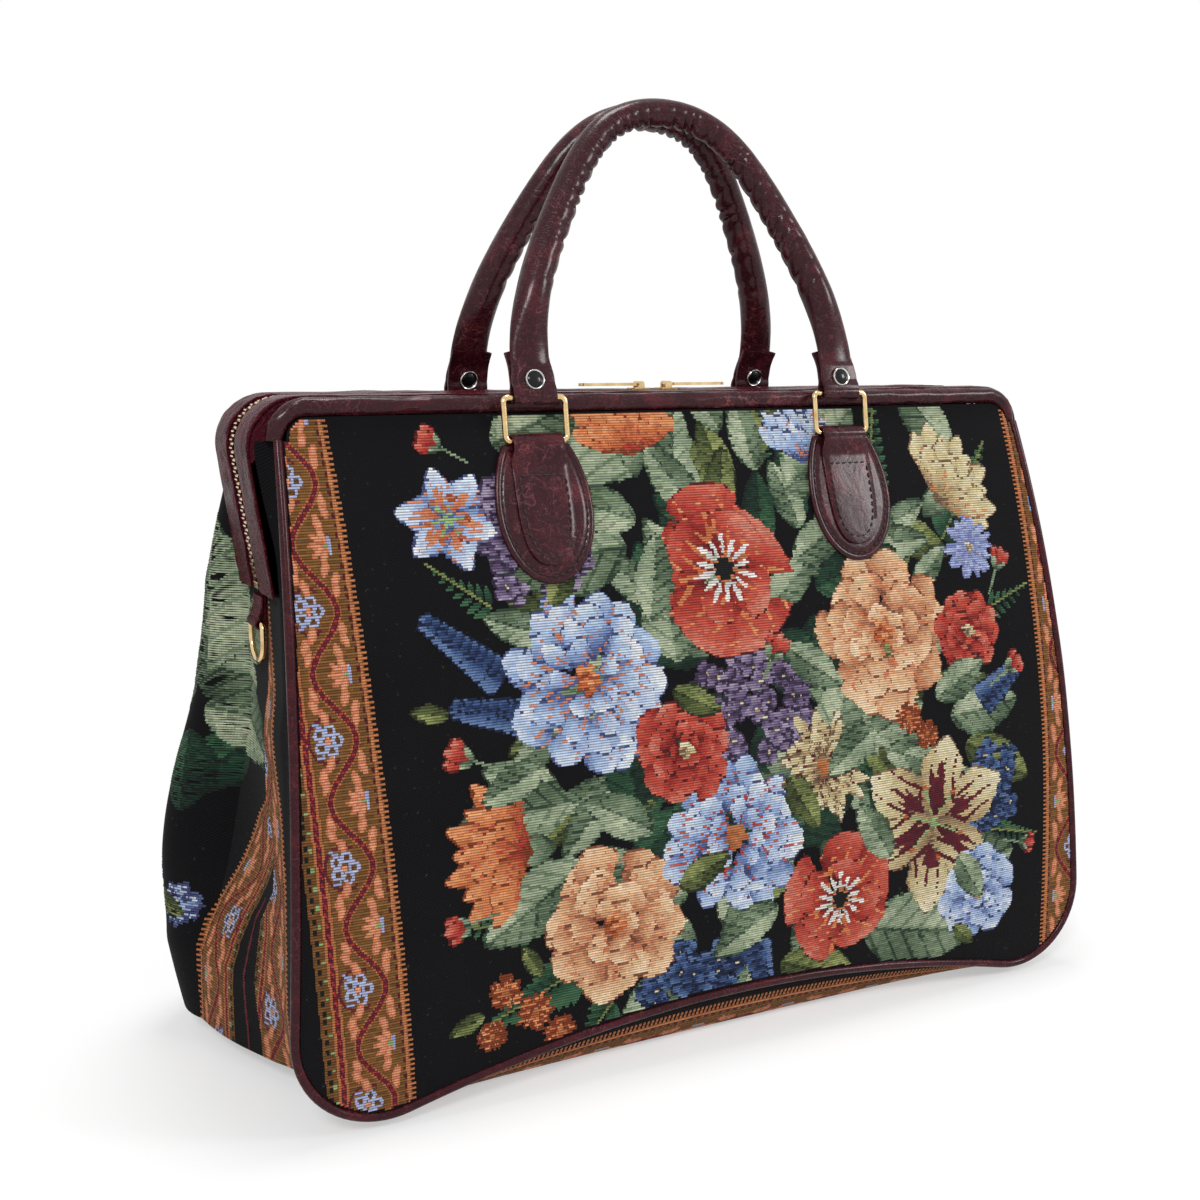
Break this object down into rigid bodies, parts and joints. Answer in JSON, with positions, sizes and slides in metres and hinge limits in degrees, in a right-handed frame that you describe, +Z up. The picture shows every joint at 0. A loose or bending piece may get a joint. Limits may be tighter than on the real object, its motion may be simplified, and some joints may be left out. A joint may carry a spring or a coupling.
{
  "type": "travel bag",
  "caption": "Zipped tapestry travel bag with a wide base, leather piping and rim, a chain zip over the top, rolled handles on hinged rings and end rings.",
  "frame": {"origin": "centre of the base on the floor", "axes": "+X to the right along the front panel, +Y from front to back, +Z up"},
  "size_m": [0.5728, 0.2052, 0.5134],
  "materials": {
    "tapestry": "black twill with a woven floral field and ochre scroll borders",
    "leather": "semi-gloss oxblood leather with a fine crushed grain",
    "zip_tape": "woven burgundy zip tape",
    "gold_metal": "polished pale gold plating",
    "rivet_metal": "gloss black dome with a bright ring",
    "board": "grey fibre board",
    "rim_core": "plain extruded core"
  },
  "bodies": {
    "root": {"front_panel": "tapestry", "back_panel": "tapestry", "left_gusset": "tapestry", "right_gusset": "tapestry", "base_panel": "tapestry", "base_board": "board", "front_piping": "leather", "back_piping": "leather", "front_rim": "leather", "back_rim": "leather", "front_rim_core": "rim_core", "back_rim_core": "rim_core", "front_facing": "leather", "back_facing": "leather", "front_zip_tape": "zip_tape", "back_zip_tape": "zip_tape", "front_zip_teeth": "gold_metal", "back_zip_teeth": "gold_metal", "left_zip_stop": "gold_metal", "right_zip_stop": "gold_metal", "left_d_tab": "leather", "right_d_tab": "leather", "front_left_chape": "leather", "front_right_chape": "leather", "back_left_chape": "leather", "back_right_chape": "leather"},
    "front_rings": {"front_left_ring": "gold_metal", "front_right_ring": "gold_metal"},
    "front_handle": {"front_handle": "leather", "front_left_rivet": "rivet_metal", "front_right_rivet": "rivet_metal"},
    "back_rings": {"back_left_ring": "gold_metal", "back_right_ring": "gold_metal"},
    "back_handle": {"back_handle": "leather", "back_left_rivet": "rivet_metal", "back_right_rivet": "rivet_metal"},
    "left_slider": {"left_slider": "gold_metal"},
    "left_pull": {"left_pull": "gold_metal"},
    "right_slider": {"right_slider": "gold_metal"},
    "right_pull": {"right_pull": "gold_metal"},
    "left_d_ring": {"left_d_ring": "gold_metal"},
    "right_d_ring": {"right_d_ring": "gold_metal"}
  },
  "joints": [
    {"name": "front_ring_swing", "type": "hinge", "parent": "root", "child": "front_rings", "pos_m": [0, -0.05097, 0.331], "axis": [1, 0, 0], "range_deg": [0, 90]},
    {"name": "front_handle_swing", "type": "hinge", "parent": "front_rings", "child": "front_handle", "pos_m": [0, -0.04765, 0.35325], "axis": [1, 0, 0], "range_deg": [0, 85]},
    {"name": "back_ring_swing", "type": "hinge", "parent": "root", "child": "back_rings", "pos_m": [0, 0.05097, 0.331], "axis": [-1, 0, 0], "range_deg": [0, 90]},
    {"name": "back_handle_swing", "type": "hinge", "parent": "back_rings", "child": "back_handle", "pos_m": [0, 0.04765, 0.35325], "axis": [-1, 0, 0], "range_deg": [0, 85]},
    {"name": "left_slider_run", "type": "slide", "parent": "root", "child": "left_slider", "axis": [-1, 0, 0], "range_m": [0, 0.19], "deforming": ["front_zip_teeth", "back_zip_teeth"]},
    {"name": "left_pull_lift", "type": "hinge", "parent": "left_slider", "child": "left_pull", "pos_m": [-0.009, 0, 0.3583], "axis": [0, 1, 0], "range_deg": [0, 160]},
    {"name": "right_slider_run", "type": "slide", "parent": "root", "child": "right_slider", "axis": [1, 0, 0], "range_m": [0, 0.19], "deforming": ["front_zip_teeth", "back_zip_teeth"]},
    {"name": "right_pull_lift", "type": "hinge", "parent": "right_slider", "child": "right_pull", "pos_m": [0.009, 0, 0.3583], "axis": [0, -1, 0], "range_deg": [0, 160]},
    {"name": "left_d_ring_swing", "type": "hinge", "parent": "root", "child": "left_d_ring", "pos_m": [-0.23205, 0, 0.23934], "axis": [0, 1, 0], "range_deg": [0, 150]},
    {"name": "right_d_ring_swing", "type": "hinge", "parent": "root", "child": "right_d_ring", "pos_m": [0.23205, 0, 0.23934], "axis": [0, -1, 0], "range_deg": [0, 150]}
  ]
}
